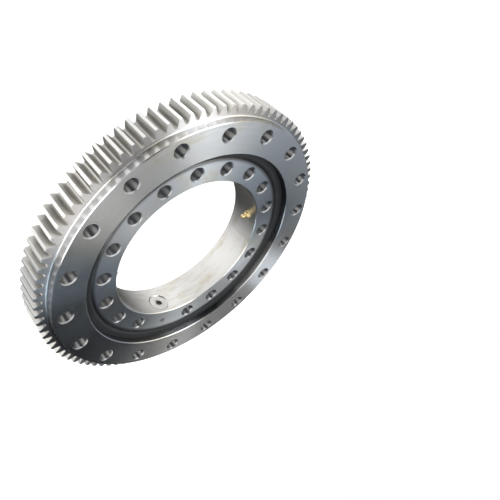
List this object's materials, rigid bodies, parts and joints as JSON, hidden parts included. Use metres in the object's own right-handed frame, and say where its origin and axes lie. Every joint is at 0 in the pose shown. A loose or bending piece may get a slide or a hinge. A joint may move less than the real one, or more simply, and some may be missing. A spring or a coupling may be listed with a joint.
{
  "type": "slewing ring bearing",
  "caption": "Slewing ring bearing: a ring with external spur gear teeth turns on balls around a bolted inner ring, sealed at both faces, with grease nipples in the bore.",
  "frame": {"origin": "centre of the inner ring's rear face, which is also the centre of the bottom of the whole bearing", "axes": "+Z along the bearing's axis, out of the front faces, where the outer ring stands 10 mm in front of the inner ring; -Y points at the taper pin and filling plug"},
  "size_m": [0.384, 0.384, 0.055],
  "materials": {
    "inner_ring_steel": "turned",
    "gear_ring_steel": "turned face, hobbed teeth",
    "seal_rubber": "matte",
    "nylon": "moulded",
    "plug_steel": "turned",
    "pin_steel": "ground",
    "nipple_brass": "turned",
    "ball_steel": "polished",
    "spring_steel": "drawn wire"
  },
  "bodies": {
    "inner_body": {"inner_ring": "inner_ring_steel", "rear_seal": "seal_rubber", "filling_plug": "plug_steel", "taper_pin": "pin_steel", "nipple_1_body": "nipple_brass", "nipple_1_spring": "spring_steel", "nipple_2_body": "nipple_brass", "nipple_2_spring": "spring_steel"},
    "outer_body": {"outer_gear_ring": "gear_ring_steel", "front_seal": "seal_rubber"},
    "ball_train": {"ball_spacers": "nylon"},
    "ball_01_body": {"ball_01": "ball_steel"},
    "ball_02_body": {"ball_02": "ball_steel"},
    "ball_03_body": {"ball_03": "ball_steel"},
    "ball_04_body": {"ball_04": "ball_steel"},
    "ball_05_body": {"ball_05": "ball_steel"},
    "ball_06_body": {"ball_06": "ball_steel"},
    "ball_07_body": {"ball_07": "ball_steel"},
    "ball_08_body": {"ball_08": "ball_steel"},
    "ball_09_body": {"ball_09": "ball_steel"},
    "ball_10_body": {"ball_10": "ball_steel"},
    "ball_11_body": {"ball_11": "ball_steel"},
    "ball_12_body": {"ball_12": "ball_steel"},
    "ball_13_body": {"ball_13": "ball_steel"},
    "ball_14_body": {"ball_14": "ball_steel"},
    "ball_15_body": {"ball_15": "ball_steel"},
    "ball_16_body": {"ball_16": "ball_steel"},
    "ball_17_body": {"ball_17": "ball_steel"},
    "ball_18_body": {"ball_18": "ball_steel"},
    "ball_19_body": {"ball_19": "ball_steel"},
    "ball_20_body": {"ball_20": "ball_steel"},
    "ball_21_body": {"ball_21": "ball_steel"},
    "ball_22_body": {"ball_22": "ball_steel"},
    "ball_23_body": {"ball_23": "ball_steel"},
    "ball_24_body": {"ball_24": "ball_steel"},
    "ball_25_body": {"ball_25": "ball_steel"},
    "ball_26_body": {"ball_26": "ball_steel"},
    "ball_27_body": {"ball_27": "ball_steel"},
    "ball_28_body": {"ball_28": "ball_steel"},
    "ball_29_body": {"ball_29": "ball_steel"},
    "ball_30_body": {"ball_30": "ball_steel"},
    "ball_31_body": {"ball_31": "ball_steel"},
    "ball_32_body": {"ball_32": "ball_steel"},
    "ball_33_body": {"ball_33": "ball_steel"},
    "ball_34_body": {"ball_34": "ball_steel"},
    "ball_35_body": {"ball_35": "ball_steel"},
    "ball_36_body": {"ball_36": "ball_steel"},
    "ball_37_body": {"ball_37": "ball_steel"},
    "ball_38_body": {"ball_38": "ball_steel"},
    "nipple_1_valve": {"nipple_1_check_ball": "ball_steel"},
    "nipple_2_valve": {"nipple_2_check_ball": "ball_steel"}
  },
  "joints": [
    {"name": "outer_ring_rotation", "type": "hinge", "parent": "inner_body", "child": "outer_body", "pos_m": [0, 0, 0.0275], "axis": [0, 0, 1], "continuous": true},
    {"name": "ball_train_rotation", "type": "hinge", "parent": "inner_body", "child": "ball_train", "pos_m": [0, 0, 0.0275], "axis": [0, 0, 1], "continuous": true},
    {"name": "ball_01_spin", "type": "hinge", "parent": "ball_train", "child": "ball_01_body", "pos_m": [0.14, 0, 0.0275], "axis": [0, 0, 1], "continuous": true},
    {"name": "ball_02_spin", "type": "hinge", "parent": "ball_train", "child": "ball_02_body", "pos_m": [0.13809, 0.02304, 0.0275], "axis": [0, 0, 1], "continuous": true},
    {"name": "ball_03_spin", "type": "hinge", "parent": "ball_train", "child": "ball_03_body", "pos_m": [0.13241, 0.04546, 0.0275], "axis": [0, 0, 1], "continuous": true},
    {"name": "ball_04_spin", "type": "hinge", "parent": "ball_train", "child": "ball_04_body", "pos_m": [0.12313, 0.06663, 0.0275], "axis": [0, 0, 1], "continuous": true},
    {"name": "ball_05_spin", "type": "hinge", "parent": "ball_train", "child": "ball_05_body", "pos_m": [0.11048, 0.08599, 0.0275], "axis": [0, 0, 1], "continuous": true},
    {"name": "ball_06_spin", "type": "hinge", "parent": "ball_train", "child": "ball_06_body", "pos_m": [0.09482, 0.103, 0.0275], "axis": [0, 0, 1], "continuous": true},
    {"name": "ball_07_spin", "type": "hinge", "parent": "ball_train", "child": "ball_07_body", "pos_m": [0.07657, 0.1172, 0.0275], "axis": [0, 0, 1], "continuous": true},
    {"name": "ball_08_spin", "type": "hinge", "parent": "ball_train", "child": "ball_08_body", "pos_m": [0.05624, 0.12821, 0.0275], "axis": [0, 0, 1], "continuous": true},
    {"name": "ball_09_spin", "type": "hinge", "parent": "ball_train", "child": "ball_09_body", "pos_m": [0.03437, 0.13572, 0.0275], "axis": [0, 0, 1], "continuous": true},
    {"name": "ball_10_spin", "type": "hinge", "parent": "ball_train", "child": "ball_10_body", "pos_m": [0.01156, 0.13952, 0.0275], "axis": [0, 0, 1], "continuous": true},
    {"name": "ball_11_spin", "type": "hinge", "parent": "ball_train", "child": "ball_11_body", "pos_m": [-0.01156, 0.13952, 0.0275], "axis": [0, 0, 1], "continuous": true},
    {"name": "ball_12_spin", "type": "hinge", "parent": "ball_train", "child": "ball_12_body", "pos_m": [-0.03437, 0.13572, 0.0275], "axis": [0, 0, 1], "continuous": true},
    {"name": "ball_13_spin", "type": "hinge", "parent": "ball_train", "child": "ball_13_body", "pos_m": [-0.05624, 0.12821, 0.0275], "axis": [0, 0, 1], "continuous": true},
    {"name": "ball_14_spin", "type": "hinge", "parent": "ball_train", "child": "ball_14_body", "pos_m": [-0.07657, 0.1172, 0.0275], "axis": [0, 0, 1], "continuous": true},
    {"name": "ball_15_spin", "type": "hinge", "parent": "ball_train", "child": "ball_15_body", "pos_m": [-0.09482, 0.103, 0.0275], "axis": [0, 0, 1], "continuous": true},
    {"name": "ball_16_spin", "type": "hinge", "parent": "ball_train", "child": "ball_16_body", "pos_m": [-0.11048, 0.08599, 0.0275], "axis": [0, 0, 1], "continuous": true},
    {"name": "ball_17_spin", "type": "hinge", "parent": "ball_train", "child": "ball_17_body", "pos_m": [-0.12313, 0.06663, 0.0275], "axis": [0, 0, 1], "continuous": true},
    {"name": "ball_18_spin", "type": "hinge", "parent": "ball_train", "child": "ball_18_body", "pos_m": [-0.13241, 0.04546, 0.0275], "axis": [0, 0, 1], "continuous": true},
    {"name": "ball_19_spin", "type": "hinge", "parent": "ball_train", "child": "ball_19_body", "pos_m": [-0.13809, 0.02304, 0.0275], "axis": [0, 0, 1], "continuous": true},
    {"name": "ball_20_spin", "type": "hinge", "parent": "ball_train", "child": "ball_20_body", "pos_m": [-0.14, 0, 0.0275], "axis": [0, 0, 1], "continuous": true},
    {"name": "ball_21_spin", "type": "hinge", "parent": "ball_train", "child": "ball_21_body", "pos_m": [-0.13809, -0.02304, 0.0275], "axis": [0, 0, 1], "continuous": true},
    {"name": "ball_22_spin", "type": "hinge", "parent": "ball_train", "child": "ball_22_body", "pos_m": [-0.13241, -0.04546, 0.0275], "axis": [0, 0, 1], "continuous": true},
    {"name": "ball_23_spin", "type": "hinge", "parent": "ball_train", "child": "ball_23_body", "pos_m": [-0.12313, -0.06663, 0.0275], "axis": [0, 0, 1], "continuous": true},
    {"name": "ball_24_spin", "type": "hinge", "parent": "ball_train", "child": "ball_24_body", "pos_m": [-0.11048, -0.08599, 0.0275], "axis": [0, 0, 1], "continuous": true},
    {"name": "ball_25_spin", "type": "hinge", "parent": "ball_train", "child": "ball_25_body", "pos_m": [-0.09482, -0.103, 0.0275], "axis": [0, 0, 1], "continuous": true},
    {"name": "ball_26_spin", "type": "hinge", "parent": "ball_train", "child": "ball_26_body", "pos_m": [-0.07657, -0.1172, 0.0275], "axis": [0, 0, 1], "continuous": true},
    {"name": "ball_27_spin", "type": "hinge", "parent": "ball_train", "child": "ball_27_body", "pos_m": [-0.05624, -0.12821, 0.0275], "axis": [0, 0, 1], "continuous": true},
    {"name": "ball_28_spin", "type": "hinge", "parent": "ball_train", "child": "ball_28_body", "pos_m": [-0.03437, -0.13572, 0.0275], "axis": [0, 0, 1], "continuous": true},
    {"name": "ball_29_spin", "type": "hinge", "parent": "ball_train", "child": "ball_29_body", "pos_m": [-0.01156, -0.13952, 0.0275], "axis": [0, 0, 1], "continuous": true},
    {"name": "ball_30_spin", "type": "hinge", "parent": "ball_train", "child": "ball_30_body", "pos_m": [0.01156, -0.13952, 0.0275], "axis": [0, 0, 1], "continuous": true},
    {"name": "ball_31_spin", "type": "hinge", "parent": "ball_train", "child": "ball_31_body", "pos_m": [0.03437, -0.13572, 0.0275], "axis": [0, 0, 1], "continuous": true},
    {"name": "ball_32_spin", "type": "hinge", "parent": "ball_train", "child": "ball_32_body", "pos_m": [0.05624, -0.12821, 0.0275], "axis": [0, 0, 1], "continuous": true},
    {"name": "ball_33_spin", "type": "hinge", "parent": "ball_train", "child": "ball_33_body", "pos_m": [0.07657, -0.1172, 0.0275], "axis": [0, 0, 1], "continuous": true},
    {"name": "ball_34_spin", "type": "hinge", "parent": "ball_train", "child": "ball_34_body", "pos_m": [0.09482, -0.103, 0.0275], "axis": [0, 0, 1], "continuous": true},
    {"name": "ball_35_spin", "type": "hinge", "parent": "ball_train", "child": "ball_35_body", "pos_m": [0.11048, -0.08599, 0.0275], "axis": [0, 0, 1], "continuous": true},
    {"name": "ball_36_spin", "type": "hinge", "parent": "ball_train", "child": "ball_36_body", "pos_m": [0.12313, -0.06663, 0.0275], "axis": [0, 0, 1], "continuous": true},
    {"name": "ball_37_spin", "type": "hinge", "parent": "ball_train", "child": "ball_37_body", "pos_m": [0.13241, -0.04546, 0.0275], "axis": [0, 0, 1], "continuous": true},
    {"name": "ball_38_spin", "type": "hinge", "parent": "ball_train", "child": "ball_38_body", "pos_m": [0.13809, -0.02304, 0.0275], "axis": [0, 0, 1], "continuous": true},
    {"name": "nipple_1_valve_slide", "type": "slide", "parent": "inner_body", "child": "nipple_1_valve", "axis": [0.9397, 0.342, 0], "range_m": [0, 0.0012], "stiffness_N_per_m": 150, "springref_m": -0.002, "deforming": ["nipple_1_spring"]},
    {"name": "nipple_2_valve_slide", "type": "slide", "parent": "inner_body", "child": "nipple_2_valve", "axis": [-0.9397, -0.342, 0], "range_m": [0, 0.0012], "stiffness_N_per_m": 150, "springref_m": -0.002, "deforming": ["nipple_2_spring"]}
  ],
  "couplings": [
    {"joint": "ball_train_rotation", "follows": "outer_ring_rotation", "ratio": 0.52525},
    {"joint": "ball_01_spin", "follows": "outer_ring_rotation", "ratio": 9.8742},
    {"joint": "ball_02_spin", "follows": "outer_ring_rotation", "ratio": 9.8742},
    {"joint": "ball_03_spin", "follows": "outer_ring_rotation", "ratio": 9.8742},
    {"joint": "ball_04_spin", "follows": "outer_ring_rotation", "ratio": 9.8742},
    {"joint": "ball_05_spin", "follows": "outer_ring_rotation", "ratio": 9.8742},
    {"joint": "ball_06_spin", "follows": "outer_ring_rotation", "ratio": 9.8742},
    {"joint": "ball_07_spin", "follows": "outer_ring_rotation", "ratio": 9.8742},
    {"joint": "ball_08_spin", "follows": "outer_ring_rotation", "ratio": 9.8742},
    {"joint": "ball_09_spin", "follows": "outer_ring_rotation", "ratio": 9.8742},
    {"joint": "ball_10_spin", "follows": "outer_ring_rotation", "ratio": 9.8742},
    {"joint": "ball_11_spin", "follows": "outer_ring_rotation", "ratio": 9.8742},
    {"joint": "ball_12_spin", "follows": "outer_ring_rotation", "ratio": 9.8742},
    {"joint": "ball_13_spin", "follows": "outer_ring_rotation", "ratio": 9.8742},
    {"joint": "ball_14_spin", "follows": "outer_ring_rotation", "ratio": 9.8742},
    {"joint": "ball_15_spin", "follows": "outer_ring_rotation", "ratio": 9.8742},
    {"joint": "ball_16_spin", "follows": "outer_ring_rotation", "ratio": 9.8742},
    {"joint": "ball_17_spin", "follows": "outer_ring_rotation", "ratio": 9.8742},
    {"joint": "ball_18_spin", "follows": "outer_ring_rotation", "ratio": 9.8742},
    {"joint": "ball_19_spin", "follows": "outer_ring_rotation", "ratio": 9.8742},
    {"joint": "ball_20_spin", "follows": "outer_ring_rotation", "ratio": 9.8742},
    {"joint": "ball_21_spin", "follows": "outer_ring_rotation", "ratio": 9.8742},
    {"joint": "ball_22_spin", "follows": "outer_ring_rotation", "ratio": 9.8742},
    {"joint": "ball_23_spin", "follows": "outer_ring_rotation", "ratio": 9.8742},
    {"joint": "ball_24_spin", "follows": "outer_ring_rotation", "ratio": 9.8742},
    {"joint": "ball_25_spin", "follows": "outer_ring_rotation", "ratio": 9.8742},
    {"joint": "ball_26_spin", "follows": "outer_ring_rotation", "ratio": 9.8742},
    {"joint": "ball_27_spin", "follows": "outer_ring_rotation", "ratio": 9.8742},
    {"joint": "ball_28_spin", "follows": "outer_ring_rotation", "ratio": 9.8742},
    {"joint": "ball_29_spin", "follows": "outer_ring_rotation", "ratio": 9.8742},
    {"joint": "ball_30_spin", "follows": "outer_ring_rotation", "ratio": 9.8742},
    {"joint": "ball_31_spin", "follows": "outer_ring_rotation", "ratio": 9.8742},
    {"joint": "ball_32_spin", "follows": "outer_ring_rotation", "ratio": 9.8742},
    {"joint": "ball_33_spin", "follows": "outer_ring_rotation", "ratio": 9.8742},
    {"joint": "ball_34_spin", "follows": "outer_ring_rotation", "ratio": 9.8742},
    {"joint": "ball_35_spin", "follows": "outer_ring_rotation", "ratio": 9.8742},
    {"joint": "ball_36_spin", "follows": "outer_ring_rotation", "ratio": 9.8742},
    {"joint": "ball_37_spin", "follows": "outer_ring_rotation", "ratio": 9.8742},
    {"joint": "ball_38_spin", "follows": "outer_ring_rotation", "ratio": 9.8742}
  ]
}
